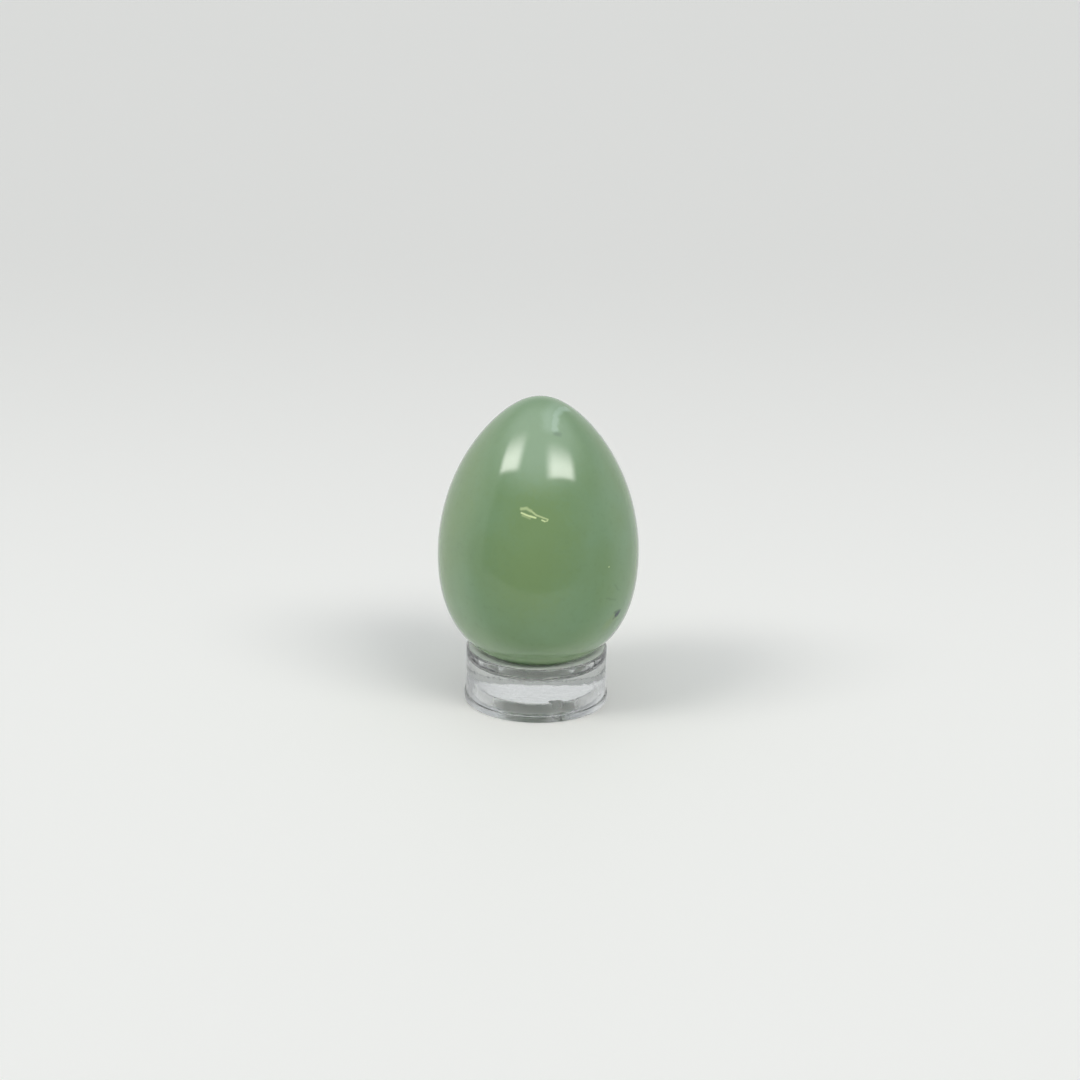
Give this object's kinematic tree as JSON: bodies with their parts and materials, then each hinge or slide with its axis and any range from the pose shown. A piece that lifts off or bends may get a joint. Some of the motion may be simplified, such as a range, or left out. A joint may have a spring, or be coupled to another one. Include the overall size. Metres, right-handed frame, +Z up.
{
  "type": "decorative egg on stand",
  "caption": "Polished green stone egg that rests, blunt end down, on a low round stand of clear plastic and lifts off by hand.",
  "frame": {"origin": "centre of the stand's underside, on the surface that it stands on", "axes": "+Z up, along the axis that the egg and the stand share; -Y faces the viewer"},
  "size_m": [0.036, 0.036, 0.0567],
  "materials": {
    "green_stone": "polished, slightly translucent green stone",
    "clear_plastic": "clear moulded acrylic"
  },
  "bodies": {
    "stand": {"stand": "clear_plastic"},
    "egg": {"egg": "green_stone"}
  },
  "joints": [
    {"name": "egg_lift", "type": "slide", "parent": "stand", "child": "egg", "axis": [0, 0, 1], "range_m": [0, 0.02]}
  ]
}
